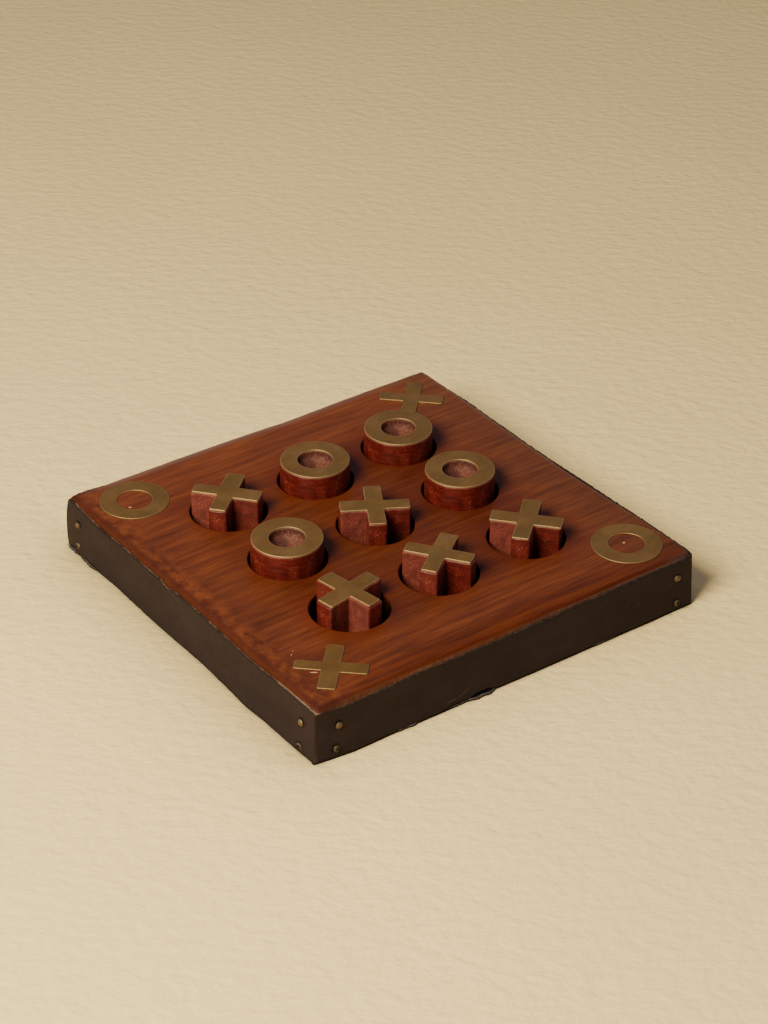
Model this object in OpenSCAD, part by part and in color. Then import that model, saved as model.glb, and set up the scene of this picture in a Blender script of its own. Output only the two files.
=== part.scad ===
// Tic-tac-toe board: a wooden block with nine blind round holes that hold five
// crosses and four rings, strips of leather round its sides, a lining under it,
// and brass on its corners and on the playing pieces.
// Origin: the middle of the underside. +Z is up, and the sides lie along X and Y.

/* [Board] */
// Side of the square board, over the side strips
board_side = 190; // [186:1:210]
// Height of the wood's top above the table
board_h = 25; // [23:0.5:32]
// Radius of the rolled edge round the top of the wood
edge_r = 2.2; // [1:0.1:2.4]
// Distance between the middles of neighbouring holes
grid_pitch = 45; // [40:0.5:46]
// Diameter of each hole
hole_d = 33.4; // [33:0.1:35]
// Depth of each hole
hole_depth = 12; // [8:0.5:14]
// Bevel round the mouth of each hole
hole_bevel = 0.4; // [0.2:0.1:0.8]

/* [Leather] */
// Thickness of the strips round the sides
strip_t = 1; // [0.6:0.1:1.4]
// Distance from the top of the wood down to the strips
strip_drop = 2.3; // [2.2:0.1:4]
// Thickness of the lining under the board
lining_t = 1.2; // [0.8:0.1:1.6]
// How far the lining sticks out past the strips
lining_lip = 0.5; // [0:0.1:0.7]
// Radius of the lining's corners
lining_corner_r = 2; // [0.5:0.5:4]

/* [Pins] */
// Diameter of a pin's domed head
pin_head_d = 3.6; // [3:0.1:3.6]
// Height of the domed head
pin_head_h = 0.8; // [0.7:0.1:1]
// Diameter of a pin's shank
pin_shank_d = 1.2; // [0.8:0.1:1.4]
// Length of a pin's shank under its head
pin_shank_l = 6; // [4:0.5:6.5]
// Height of the lower row of pins above the table
pin_low_z = 3.5; // [3.4:0.1:4]
// Height of the upper row of pins above the table
pin_high_z = 14.4; // [10:0.1:16]

/* [Brass] */
// Thickness of all the brass plates
brass_t = 0.8; // [0.5:0.1:1]
// Width of a brass cross's arms
brass_arm_w = 7.5; // [6:0.1:7.6]
// Length of a brass cross from tip to tip
brass_cross_l = 29; // [26:0.1:30]
// Outer diameter of a brass ring
brass_ring_d = 30; // [27:0.1:30]
// Inner diameter of a brass ring
brass_ring_hole_d = 15.4; // [12:0.1:16]
// How far the corner plates stand above the wood
inlay_proud = 0.4; // [0.1:0.1:0.4]
// Distance of a corner plate's middle from the board's sides
inlay_inset = 20; // [19:0.5:22]
// Room between a corner plate's edge and the wood that it is let into
inlay_gap = 0.1; // [0.1:0.05:0.2]

/* [Playing pieces] */
// Diameter of the turned wood that both kinds of piece are made from
piece_d = 30.6; // [30.2:0.1:30.8]
// Width of a wooden cross's arms
cross_arm_w = 7.9; // [7.6:0.1:9]
// Height that a cross shows above the board, with its brass
cross_shows = 9.3; // [7:0.1:12]
// Height that a ring shows above the board, with its brass
ring_shows = 10.2; // [7:0.1:12]
// Depth of the straight wall of a ring's blind hole, below its brass
bowl_wall = 2.5; // [1:0.1:5]
// Depth of the rounded floor below that wall
bowl_floor = 3.5; // [1:0.1:5]

/* [Hidden] */
$fn = 96;
// A shape that cuts another runs this far past it
past = 1;
wood_side = board_side - 2 * strip_t;
wood_h = board_h - lining_t;
strip_h = board_h - strip_drop - lining_t;
hole_floor_z = board_h - hole_depth;
inlay_seat_z = board_h + inlay_proud - brass_t;
inlay_at = board_side / 2 - inlay_inset;

// The nine holes by hand: column, row, and how far each was drilled off the grid (x, y)
hole_places = [
    [-1, -1, 0.1, -0.4],
    [0, -1, 0, -0.3],
    [1, -1, 0.7, 0],
    [-1, 0, 0.1, -0.6],
    [0, 0, -0.2, -0.3],
    [1, 0, 0.5, 0.9],
    [-1, 1, 0.1, -0.5],
    [0, 1, -0.5, -1],
    [1, 1, 0.1, 0.5]
];
// The crosses as they lie: column, row, shift from the grid (x, y), and turn in degrees
cross_places = [
    [-1, 1, -0.4, -0.1, 41],
    [0, 0, -0.1, 0.3, 60],
    [1, -1, 0.3, -0.3, 42],
    [0, -1, 0.4, 0.4, 36],
    [-1, -1, -0.1, -0.3, 11]
];
// The rings as they lie: column, row, and shift from the grid (x, y)
ring_places = [
    [1, 1, -0.4, 0.2],
    [0, 1, -0.7, -1],
    [1, 0, 0.7, 1.5],
    [-1, 0, 0, -0.4]
];
// The corner plates: side along X, side along Y, and shift from the corner's own place (x, y)
front_left_inlay = [-1, -1, 0.8, 0.5];
back_right_inlay = [1, 1, -0.1, 1.6];
back_left_inlay = [-1, 1, 1.3, -0.6];
front_right_inlay = [1, -1, 1.6, 1.4];
front_left_turn = 47.7;
back_right_turn = 46.8;
// How far each side's pins stand from its two ends, going round from the front
pin_insets = [[9.5, 8.6], [8.5, 9], [9, 8], [8.5, 10.5]];

// Places its children at a square of the grid, shifted and turned as its row says
module at_square(place, z) {
    translate([place[0] * grid_pitch + place[2], place[1] * grid_pitch + place[3], z])
        rotate([0, 0, len(place) > 4 ? place[4] : 0])
            children();
}

// Places its children at a corner plate
module at_corner(place, turn = 0) {
    translate([place[0] * inlay_at + place[2], place[1] * inlay_at + place[3], inlay_seat_z])
        rotate([0, 0, turn])
            children();
}

// Places its children at every pin, with +X pointing out of the side that the pin is in
module at_pins() {
    for (side = [0:3], end = [0, 1], z = [pin_low_z, pin_high_z])
        rotate([0, 0, side * 90 - 90])
            translate([board_side / 2,
                (end * 2 - 1) * (board_side / 2 - pin_insets[side][end]), z])
                children();
}

// A flat cross with two equal bars
module cross_outline(length, width) {
    square([length, width], center = true);
    square([width, length], center = true);
}

// A flat ring
module ring_outline(outer_d, inner_d) {
    difference() {
        circle(d = outer_d);
        circle(d = inner_d);
    }
}

// The wood's outline from the side, with both upper corners rounded
module rolled_outline() {
    translate([-wood_side / 2, 0])
        square([wood_side, wood_h - edge_r]);
    translate([-wood_side / 2 + edge_r, 0])
        square([wood_side - 2 * edge_r, wood_h]);
    for (side = [-1, 1])
        translate([side * (wood_side / 2 - edge_r), wood_h - edge_r])
            circle(r = edge_r);
}

// A square with its corners rounded
module rounded_square(side, r) {
    square([side - 2 * r, side], center = true);
    square([side, side - 2 * r], center = true);
    for (x = [-1, 1], y = [-1, 1])
        translate([x * (side / 2 - r), y * (side / 2 - r)])
            circle(r = r);
}

// The block before anything is cut into it: the two rolled outlines meet in mitred corners
module board_blank() {
    translate([0, 0, lining_t])
        intersection() {
            rotate([90, 0, 0])
                linear_extrude(wood_side, center = true)
                    rolled_outline();
            rotate([90, 0, 90])
                linear_extrude(wood_side, center = true)
                    rolled_outline();
        }
}

// One blind hole with its bevelled mouth
module blind_hole() {
    cylinder(d = hole_d, h = hole_depth + past);
    translate([0, 0, hole_depth - hole_bevel])
        cylinder(d1 = hole_d, d2 = hole_d + 2 * (hole_bevel + past), h = hole_bevel + past);
}

module board() {
    color("sienna")
        difference() {
            board_blank();
            for (place = hole_places)
                at_square(place, hole_floor_z)
                    blind_hole();
            at_corner(front_left_inlay, front_left_turn)
                linear_extrude(brass_t + past)
                    cross_outline(brass_cross_l + 2 * inlay_gap, brass_arm_w + 2 * inlay_gap);
            at_corner(back_right_inlay, back_right_turn)
                linear_extrude(brass_t + past)
                    cross_outline(brass_cross_l + 2 * inlay_gap, brass_arm_w + 2 * inlay_gap);
            for (place = [back_left_inlay, front_right_inlay])
                at_corner(place)
                    linear_extrude(brass_t + past)
                        ring_outline(brass_ring_d + 2 * inlay_gap, brass_ring_hole_d - 2 * inlay_gap);
            at_pins()
                translate([-pin_shank_l, 0, 0])
                    rotate([0, 90, 0])
                        cylinder(d = pin_shank_d, h = pin_shank_l);
        }
}

module base_lining() {
    color("#2a211b")
        linear_extrude(lining_t)
            rounded_square(board_side + 2 * lining_lip, lining_corner_r);
}

// A strip that covers one side, with bores for its pins. The front and back strips
// reach over the ends of the other two.
module side_strip(quarter, length) {
    color("#33291f")
        difference() {
            rotate([0, 0, quarter * 90 - 90])
                translate([board_side / 2 - strip_t, -length / 2, lining_t])
                    cube([strip_t, length, strip_h]);
            at_pins()
                translate([-strip_t - past, 0, 0])
                    rotate([0, 90, 0])
                        cylinder(d = pin_shank_d, h = strip_t + 2 * past);
        }
}

module front_side_strip() {
    side_strip(0, board_side);
}

module right_side_strip() {
    side_strip(1, wood_side);
}

module back_side_strip() {
    side_strip(2, board_side);
}

module left_side_strip() {
    side_strip(3, wood_side);
}

// A pin along +X: a head that is a slice of a ball, on a straight shank
module pin() {
    ball_r = (pin_head_d * pin_head_d / 4 + pin_head_h * pin_head_h) / (2 * pin_head_h);
    rotate([0, 90, 0]) {
        intersection() {
            translate([0, 0, pin_head_h - ball_r])
                sphere(r = ball_r);
            cylinder(d = pin_head_d + past, h = pin_head_h + past);
        }
        translate([0, 0, -pin_shank_l])
            cylinder(d = pin_shank_d, h = pin_shank_l);
    }
}

module side_pins() {
    color("#a8823f")
        at_pins()
            pin();
}

// The brass cross on a corner or on a wooden cross
module brass_cross() {
    color("#b08d4c")
        linear_extrude(brass_t)
            cross_outline(brass_cross_l, brass_arm_w);
}

// The brass ring on a corner or on a wooden ring
module brass_ring() {
    color("#b08d4c")
        linear_extrude(brass_t)
            ring_outline(brass_ring_d, brass_ring_hole_d);
}

module front_left_cross_inlay() {
    at_corner(front_left_inlay, front_left_turn)
        brass_cross();
}

module back_right_cross_inlay() {
    at_corner(back_right_inlay, back_right_turn)
        brass_cross();
}

module back_left_ring_inlay() {
    at_corner(back_left_inlay)
        brass_ring();
}

module front_right_ring_inlay() {
    at_corner(front_right_inlay)
        brass_ring();
}

// A wooden cross, cut from turned wood so that its arms end in arcs
module cross_wood(number) {
    color("#8a3a1e")
        at_square(cross_places[number - 1], hole_floor_z)
            intersection() {
                cylinder(d = piece_d, h = hole_depth + cross_shows - brass_t);
                linear_extrude(hole_depth + cross_shows - brass_t)
                    cross_outline(piece_d + past, cross_arm_w);
            }
}

module cross_brass(number) {
    at_square(cross_places[number - 1], board_h + cross_shows - brass_t)
        brass_cross();
}

// A wooden ring: its hole is blind, with a straight wall and a floor like a bowl's
module ring_wood(number) {
    height = hole_depth + ring_shows - brass_t;
    hole_r = brass_ring_hole_d / 2;
    bowl_r = (hole_r * hole_r + bowl_floor * bowl_floor) / (2 * bowl_floor);
    color("#8a3a1e")
        at_square(ring_places[number - 1], hole_floor_z)
            difference() {
                cylinder(d = piece_d, h = height);
                translate([0, 0, height - bowl_wall])
                    cylinder(r = hole_r, h = bowl_wall + past);
                intersection() {
                    translate([0, 0, height - bowl_wall - bowl_floor + bowl_r])
                        sphere(r = bowl_r);
                    translate([0, 0, height - bowl_wall - bowl_floor])
                        cylinder(r = hole_r, h = bowl_floor + bowl_wall / 2);
                }
            }
}

module ring_brass(number) {
    at_square(ring_places[number - 1], board_h + ring_shows - brass_t)
        brass_ring();
}

board();
base_lining();
front_side_strip();
right_side_strip();
back_side_strip();
left_side_strip();
side_pins();
front_left_cross_inlay();
back_right_cross_inlay();
back_left_ring_inlay();
front_right_ring_inlay();
cross_wood(1);  // cross_1_wood
cross_wood(2);  // cross_2_wood
cross_wood(3);  // cross_3_wood
cross_wood(4);  // cross_4_wood
cross_wood(5);  // cross_5_wood
cross_brass(1);  // cross_1_brass
cross_brass(2);  // cross_2_brass
cross_brass(3);  // cross_3_brass
cross_brass(4);  // cross_4_brass
cross_brass(5);  // cross_5_brass
ring_wood(1);  // ring_1_wood
ring_wood(2);  // ring_2_wood
ring_wood(3);  // ring_3_wood
ring_wood(4);  // ring_4_wood
ring_brass(1);  // ring_1_brass
ring_brass(2);  // ring_2_brass
ring_brass(3);  // ring_3_brass
ring_brass(4);  // ring_4_brass
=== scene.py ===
"""A tic-tac-toe board as it looks: varnished wood, leather round its sides, aged brass.

Shapes are worked out in millimetres, and MM turns them into metres when a mesh is made.
X runs along the front side, Y towards the back and Z up, from the surface that it stands on.
"""
import math

import bmesh
import bpy
import numpy as np
from mathutils import Matrix, Vector


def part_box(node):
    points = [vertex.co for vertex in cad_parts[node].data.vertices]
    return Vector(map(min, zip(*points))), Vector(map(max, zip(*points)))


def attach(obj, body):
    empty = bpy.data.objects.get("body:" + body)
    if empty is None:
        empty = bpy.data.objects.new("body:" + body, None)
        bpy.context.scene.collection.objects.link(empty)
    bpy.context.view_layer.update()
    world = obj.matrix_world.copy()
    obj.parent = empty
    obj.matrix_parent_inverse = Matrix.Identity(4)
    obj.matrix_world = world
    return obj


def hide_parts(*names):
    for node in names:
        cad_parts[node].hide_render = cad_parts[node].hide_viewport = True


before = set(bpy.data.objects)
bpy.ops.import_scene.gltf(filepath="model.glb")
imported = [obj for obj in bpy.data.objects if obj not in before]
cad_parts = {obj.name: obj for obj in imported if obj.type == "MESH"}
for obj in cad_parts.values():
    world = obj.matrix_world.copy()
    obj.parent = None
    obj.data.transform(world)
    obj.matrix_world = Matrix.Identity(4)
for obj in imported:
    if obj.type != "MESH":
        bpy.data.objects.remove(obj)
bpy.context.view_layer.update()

MM = 0.001
TURN = 2 * math.pi


def box_mm(node):
    """Lowest and highest corner of one of the frame's nodes, in millimetres."""
    low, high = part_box(node)
    return np.array(low) / MM, np.array(high) / MM


def middle_mm(node):
    """Middle of one of the frame's nodes seen from above, in millimetres."""
    low, high = box_mm(node)
    return (low[:2] + high[:2]) / 2


# Camera
CAMERA_LENS = 92.19
CAMERA_YAW = -35.757
CAMERA_PITCH = 32.477
CAMERA_ROLL = 0.269
CAMERA_ASIDE = 3.675
CAMERA_ABOVE = 4.792
CAMERA_DISTANCE = 1109.3

# The block
WOOD_LOW, WOOD_HIGH = box_mm("board")
WOOD_HALF = WOOD_HIGH[0]
WOOD_TOP = WOOD_HIGH[2]
WOOD_BOTTOM = WOOD_LOW[2]
EDGE_RADIUS = 1.7
EDGE_WEAR = 0.05
PLAN_CORNER = 1.4
CROWN_DROP = 0.2
CROWN_WIDTH = 6.0
# How far the grain is turned from the front side, in degrees
GRAIN_TURN = 1.5

# Ripples, each a height, a size and a seed: of the wood's top, and of the wear along its edge,
# where the edge is taken as a circle of radius 1
TOP_RIPPLES = ((0.10, 70, 3), (0.035, 16, 4))
WEAR_RIPPLES = ((1, 0.14, 7), (0.6, 0.05, 8))

# The nine holes: column, row, and how far each was drilled off the grid
GRID_PITCH = 45.0
SQUARES_HALF = 1.5 * GRID_PITCH
HOLE_RADIUS = 16.7
HOLE_DEPTH = 12.0
MOUTH_RADIUS = 0.55
STAIN_WIDTH = 5.5
HOLES = (
    (-1, -1, 0.1, -0.4), (0, -1, 0.0, -0.3), (1, -1, 0.7, 0.0),
    (-1, 0, 0.1, -0.6), (0, 0, -0.2, -0.3), (1, 0, 0.5, 0.9),
    (-1, 1, 0.1, -0.5), (0, 1, -0.5, -1.0), (1, 1, 0.1, 0.5),
)

# The block isn't quite square: how far its right side runs out of true at places along Y, and its
# back side at places along X
RIGHT_RUN = (
    (-95.5, -0.6), (-93.5, 0.6), (-90, 1.6), (-80, 1.4), (-57, 1.1), (-45, 0.5), (-30, 0.1), (-12, -0.4),
    (5, -0.1), (45, 0.5), (62, 0.8), (95, 0.6),
)
BACK_RUN = (
    (-95, 0), (-50, 0.1), (-30, 0.4), (-4, 0.3), (15, -0.3), (34, 0.1), (50, 0.6), (68, 1.2), (95, 1.1),
)

# Leather
SIDES = ("front", "right", "back", "left")
# Height of the strips' lower edges, on average and at least
STRIP_FOOT = 0.12
LOWEST_FOOT = 0.04
# How far their hidden faces lie inside the wood
STRIP_SUNK = 0.3
# How far a strip reaches past the wood, and how round its ends are: the front and back strips
# cover the ends of the other two, and stand a little proud of them
COVERING_END = (1.6, 0.5)
COVERED_END = (-0.2, 0.01)
END_PROUD = 0.04
# Length of a strip's finely divided ends, and the steps between them
END_ZONE = 1.6
STRIP_STEP = 0.6
# Share of its thickness that is left where a strip's end closes
END_FOLD = 0.004
# Ripples of the strips: of their upper edges, of their lower edges and of their faces
EDGE_RIPPLES = ((0.12, 6, 20), (0.07, 1.8, 30))
FOOT_RIPPLES = ((0.05, 9, 30), (0.04, 2, 34))
FACE_RIPPLES = ((0.07, 28, 40), (0.02, 6, 50))
# How far the outer face of each strip stands from the wood: (place along the side, at its upper
# edge, at its foot)
STRIP_FACES = {
    "front": (
        (-95, 0.2, 1.5), (-90, 0.8, 2.4), (-79, 1.1, 3.4), (-50, 1.2, 3.0), (-38, 1.2, 3.2), (-32, 1.2, 3.1),
        (-8, 1.2, 2.8), (10, 1.3, 3.0), (30, 1.3, 2.9), (75, 1.4, 2.8), (88, 1.3, 2.6), (95, 1.1, 2.5),
    ),
    "right": (
        (-95, 0.5, 1.2), (-93, 0.5, 1.4), (-90, 0.5, 1.8), (-80, 0.8, 2.2), (-70, 1.2, 2.6), (-9, 1.3, 2.6),
        (3, 0.7, 2.2), (43, 0.7, 2.2), (57, 1.2, 2.5), (76, 0.6, 2.0), (95, 0.4, 1.4),
    ),
    "back": ((-95, 1.0, 1.3), (-60, 1.2, 2.1), (10, 1.1, 1.9), (50, 1.2, 2.3), (95, 1.1, 1.5)),
    "left": (
        (-95, 1.3, 1.6), (-91, 1.2, 2.5), (-83, 1.2, 3.0), (-74, 1.1, 3.1), (-54, 1.0, 2.5), (-31, 1.1, 3.0),
        (-17, 1.1, 3.0), (15, 1.0, 2.5), (32, 1.1, 3.2), (49, 1.1, 4.0), (62, 1.1, 3.4), (88, 1.0, 3.0),
        (95, 1.3, 2.8),
    ),
}
# How much each strip bulges halfway up, and how far its upper edge turns in, at its two ends,
# and how far from the ends each dies away
BULGE_WIDTH = 13
TURN_WIDTH = 5
END_BULGES = {"front": (0.0, 0.0), "right": (0.4, 0.4), "back": (0.4, 0.3), "left": (0.6, 0.0)}
END_TURNS = {"front": (0.0, 0.0), "right": (0.0, 0.6), "back": (0.6, 0.3), "left": (0.3, 0.0)}
# How far the upper edge of each strip lies under the top of the wood: (place along the side, drop)
STRIP_DROPS = {
    "front": (
        (-95, 2.5), (-84, 3.5), (-70, 3.7), (-46, 2.6), (-32, 2.9), (-7, 3.1), (24, 2.4), (55, 1.9),
        (88, 1.7), (95, 0.6),
    ),
    "right": ((-95, 0.9), (-85, 1.2), (-60, 1.3), (-25, 0.9), (20, 1.1), (60, 1.3), (95, 1.4)),
    "back": (
        (-95, 1.8), (-50, 2.6), (-10, 2.3), (35, 3.0), (70, 2.0), (84, 1.1), (90, 1.0), (93, 1.3), (95, 2.2),
    ),
    "left": (
        (-95, 2.2), (-93, 1.5), (-90, 1.6), (-86, 2.1), (-68, 3.5), (-47, 2.7), (-26, 2.9), (-19, 2.7),
        (-17.5, 3.6), (-14.5, 4.4), (-12, 3.8), (-11, 2.6), (12, 2.5), (48, 3.7), (77, 2.8), (95, 2.6),
    ),
}
LINING_THICKNESS = 1.2
# How far the lining's cut edge lies inside the strips' feet, and its ripples: of the edge
# everywhere, and of the lips
LINING_SHORT = 0.25
LINING_RIPPLES = ((0.10, 11, 61), (0.06, 1.3, 62))
LIP_RIPPLES = ((0.14, 1.5, 63), (0.18, 4, 64))
# Where the lining shows: side, place along it, half width, its reach past the strip, and how far
# the strip's lower edge is curled up there
LINING_LIPS = (
    ("left", -75.5, 6.2, 0.8, 0.8), ("left", -90.5, 5.2, 1.0, 0.9), ("left", 18, 9, 0.2, 0.2),
    ("front", -16.5, 6, 1.4, 1.7), ("front", -29, 5, 0.2, 1.1), ("front", -53, 5, 0.6, 0.3),
    ("front", 52, 12, 0.3, 0.3), ("right", 30, 14, 0.9, 0.8), ("right", -48, 6, 0.4, 0.4),
    ("back", -35, 12, 1.1, 0.9), ("back", 60, 8, 0.6, 0.5),
)

# Pins
PIN_RADIUS = 1.75
PIN_DOME = 1.05
PIN_SUNK = 0.12
PIN_LEAN = 0.07
# The leather dips round each pin
DIP_DEPTH = 0.15
DIP_RADIUS = 2.4
# The four pins of each side, a low and a high one at each end: place along the side, height
PIN_PLACES = {
    "front": ((-86.7, 4.4), (-85.0, 14.3), (86.4, 3.9), (86.4, 15.8)),
    "right": ((-86.5, 3.4), (-86.5, 14.3), (86.0, 3.6), (86.0, 14.5)),
    "back": ((-86.0, 3.5), (-86.0, 14.2), (87.0, 3.2), (87.0, 14.6)),
    "left": ((-85.1, 4.7), (-85.4, 14.7), (85.0, 3.0), (84.8, 13.7)),
}

# Playing pieces and brass
PIECE_RADIUS = 15.3
CROSS_ARM = 7.9
RING_OUTER = 15.0
RING_INNER = 7.7
BOWL_WALL = 2.5
BOWL_DEPTH = 3.5
BOWL_RIPPLES = ((0.13, 1.5, 90), (0.06, 0.7, 94))
BRASS_ARRIS = 0.13
# The dark line of glue round a plate that is let into the wood, darkened as painted shade of the
# joint too: (inset, height)
GLUE_AND_SHADE_LINE = [(-0.22, WOOD_TOP - 0.3), (-0.22, WOOD_TOP + 0.03), (-0.02, WOOD_TOP + 0.05)]
# Each brass cross was cut by hand: its turn in degrees, the reach of its arms, and each arm's width
BRASS_CROSSES = {
    "cross_1_brass": (41, 14.7, (8.0, 6.2, 7.0, 8.0)),
    "cross_2_brass": (60, 14.8, (7.4, 7.8, 7.1, 6.5)),
    "cross_3_brass": (42, 15.2, (7.6, 7.6, 7.0, 7.8)),
    "cross_4_brass": (36, 14.4, (7.8, 6.8, 6.7, 7.0)),
    "cross_5_brass": (11, 14.0, (7.3, 7.7, 7.7, 6.4)),
    "front_left_cross_inlay": (47.7, 14.7, (7.0, 5.6, 7.3, 6.6)),
    "back_right_cross_inlay": (46.8, 14.5, (7.0, 6.4, 6.7, 6.9)),
}
# Points along each side of a wooden cross's arm, and round its end
ARM_STEPS = 26
END_STEPS = 18
# How pale and fuzzy the sawn faces of the five wooden crosses are: the second side of the second
# arm, the first side of the fourth, the other sides, and the ends
SAWN_FACES = (
    (1.0, 0.5, 0.5, 0.2), (0.8, 0.25, 0.4, 0.12), (0.8, 0.2, 0.4, 0.12), (0.7, 0.1, 0.4, 0.38),
    (0.35, 0.85, 0.45, 0.0),
)
# Small pale specks on the top: place, half lengths and turn in degrees
SPECKS = (
    (76.2, -72.3, 0.55, 0.5, 0), (-78.2, 70.7, 0.7, 0.45, -35), (-81.7, -73.6, 1.5, 0.33, -35),
    (-82.3, -58.8, 0.4, 0.22, 20), (-80.4, -57.0, 0.3, 0.17, 0),
)
# Scuffs, and as the last two, creases drawn as pale lines that are painted highlights, in the
# front strip: place along it, height, half lengths and turn in degrees
SCUFFS_AND_CREASE_HIGHLIGHTS = (
    (65.3, 11.9, 0.6, 0.4, 0), (47.7, 11.2, 0.5, 0.35, 0), (-31.7, 3.9, 3.4, 0.4, -4),
    (-25.3, 5.2, 3.8, 0.45, -22),
)

# Half the side of the floor, in metres
FLOOR_REACH = 8.0
# Edges with a sharper angle than this, in degrees, show as edges
CREASE = 38


# The camera, as the photograph was taken

def add_camera():
    """Stands the camera at its yaw, pitch, roll and distance from the middle of the wood's top."""
    data = bpy.data.cameras.new("camera")
    data.lens = CAMERA_LENS
    data.clip_start = 0.05
    camera = bpy.data.objects.new("camera", data)
    bpy.context.scene.collection.objects.link(camera)
    turned = (
        Matrix.Rotation(math.radians(CAMERA_YAW), 4, "Z")
        @ Matrix.Rotation(math.radians(90 - CAMERA_PITCH), 4, "X")
        @ Matrix.Rotation(math.radians(CAMERA_ROLL), 4, "Z")
    )
    away = Matrix.Translation(Vector((CAMERA_ASIDE, CAMERA_ABOVE, CAMERA_DISTANCE)) * MM)
    camera.matrix_world = Matrix.Translation((0, 0, WOOD_TOP * MM)) @ turned @ away
    bpy.context.scene.camera = camera


# Shapes on grids of points

def smooth_step(value):
    """0 below 0, 1 above 1, and an even S curve between them."""
    share = np.clip(value, 0, 1)
    return share * share * (3 - 2 * share)


def ripple(points, size, seed, waves=24):
    """Smooth random value for each point, about -1 to 1: the sum of plane waves with random
    directions and phases, whose lengths lie round the size."""
    rng = np.random.default_rng(seed)
    points = np.asarray(points, float)
    ways = rng.normal(size=(waves, points.shape[-1]))
    ways *= (TURN / size * rng.uniform(0.6, 1.7, waves) / np.linalg.norm(ways, axis=1))[:, None]
    return np.cos(points @ ways.T + rng.uniform(0, TURN, waves)).sum(-1) / math.sqrt(waves)


def ripples(points, several, number=0):
    """Sum of several ripples, each a height, a size and a seed, to which the number is added."""
    return sum(height * ripple(points, size, seed + number) for height, size, seed in several)


def quarter_turned(points, quarter):
    """Points turned anticlockwise round the Z axis by a number of quarter turns."""
    cos, sin = (1, 0, -1, 0)[quarter % 4], (0, 1, 0, -1)[quarter % 4]
    turned = points.copy()
    turned[..., 0] = cos * points[..., 0] - sin * points[..., 1]
    turned[..., 1] = sin * points[..., 0] + cos * points[..., 1]
    return turned


def square_path(half, corner, spread, steps):
    """Points of a square, anticlockwise from its front right corner, with a number of steps a
    side. Half is half of its side, corner the radius of its corners, and spread moves the
    points towards the corners, from 0, evenly spaced, to 1, spaced as a sine."""
    along = np.arange(steps) / steps * 2 - 1
    along = along + spread * (np.sin(along * math.pi / 2) - along)
    side = np.stack([np.ones(steps), along], 1)
    path = np.concatenate([quarter_turned(side, quarter) for quarter in range(4)])
    half = np.broadcast_to(half, len(path))[:, None]
    path = path * half
    core = np.clip(path, corner - half, half - corner)
    away = path - core
    return core + away * corner / np.maximum(np.linalg.norm(away, axis=1, keepdims=True), 1e-9)


def at_height(path, height):
    """A flat path raised to a height."""
    return np.concatenate([path, np.broadcast_to(height, len(path))[:, None]], 1)


def turned(profile, centre, steps):
    """A profile of (radius, height) points turned round the upright axis through the centre."""
    angle = TURN * np.arange(steps) / steps - TURN / 8
    radius, height = np.array(profile, float).T
    return np.stack([
        centre[0] + radius[:, None] * np.cos(angle),
        centre[1] + radius[:, None] * np.sin(angle),
        np.broadcast_to(height[:, None], (len(profile), steps)),
    ], 2)


def inwards(outline):
    """Direction straight into a closed anticlockwise outline, at each of its points."""
    ahead = np.roll(outline, -1, 0) - np.roll(outline, 1, 0)
    return np.stack([-ahead[:, 1], ahead[:, 0]], 1) / np.linalg.norm(ahead, axis=1, keepdims=True)


def carried(outline, profile):
    """A profile of (inset, height) points carried round a closed anticlockwise outline: each row
    is the outline moved inwards by the inset."""
    return np.stack([at_height(outline + inset * inwards(outline), height) for inset, height in profile])


def softened(outline, passes):
    """A closed outline whose points have moved to the mean of themselves and their neighbours."""
    for _ in range(passes):
        outline = outline / 2 + (np.roll(outline, 1, 0) + np.roll(outline, -1, 0)) / 4
    return outline


def line(start, end, steps):
    """Points of a straight line, without its last."""
    return np.linspace(start, end, steps, endpoint=False)


def quarter_round(radius, steps):
    """A rounded edge, from the side to the top: (inset, drop) points."""
    angle = np.radians(np.linspace(0, 90, steps))
    return list(zip(radius * (1 - np.cos(angle)), radius * (1 - np.sin(angle))))


def ball_cap(radius, depth, steps):
    """A shallow cap of a ball, from its rim to its middle: (radius, distance from the level of
    its middle) points."""
    ball = (radius ** 2 + depth ** 2) / (2 * depth)
    angle = np.linspace(math.asin(radius / ball), 0, steps)
    return list(zip(ball * np.sin(angle), ball * (1 - np.cos(angle))))


def for_rows(values, grid):
    """One value for each row of a grid, given to all its points."""
    return np.broadcast_to(np.array(values, float)[:, None], grid.shape[:2])


def grid_faces(rows, columns, first, rows_meet):
    """Quads of a grid whose columns close on themselves, and whose rows do too if they meet."""
    row = np.arange(rows if rows_meet else rows - 1)[:, None]
    column = np.arange(columns)[None]
    next_row = (row + 1) % rows
    next_column = (column + 1) % columns
    corners = (
        row * columns + column, row * columns + next_column,
        next_row * columns + next_column, next_row * columns + column,
    )
    return first + np.stack([corner.ravel() for corner in corners], 1)


def add_piece(name, grids, finish, body, nodes, marks=None, rows_meet=False, crease=CREASE):
    """Makes one closed mesh of grids of points, which marks may give numbers to for the finish,
    and lets it ride on its body in place of the nodes."""
    points = np.concatenate([grid.reshape(-1, 3) for grid in grids]) * MM
    faces, first = [], 0
    for grid in grids:
        rows, columns = grid.shape[:2]
        faces.append(grid_faces(rows, columns, first, rows_meet))
        first += rows * columns
    mesh = bpy.data.meshes.new(name)
    mesh.from_pydata(points.tolist(), [], np.concatenate(faces).tolist())
    for mark, values in (marks or {}).items():
        values = np.concatenate([np.asarray(value, np.float32).reshape(-1) for value in values])
        is_place = len(values) == 3 * len(points)
        layer = mesh.attributes.new(mark, "FLOAT_VECTOR" if is_place else "FLOAT", "POINT")
        layer.data.foreach_set("vector" if is_place else "value", values)
    close_seams(mesh)
    mesh.shade_smooth()
    mesh.set_sharp_from_angle(angle=math.radians(crease))
    mesh.materials.append(finish)
    piece = bpy.data.objects.new(name, mesh)
    bpy.context.scene.collection.objects.link(piece)
    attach(piece, body)
    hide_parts(*nodes)
    return piece


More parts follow.
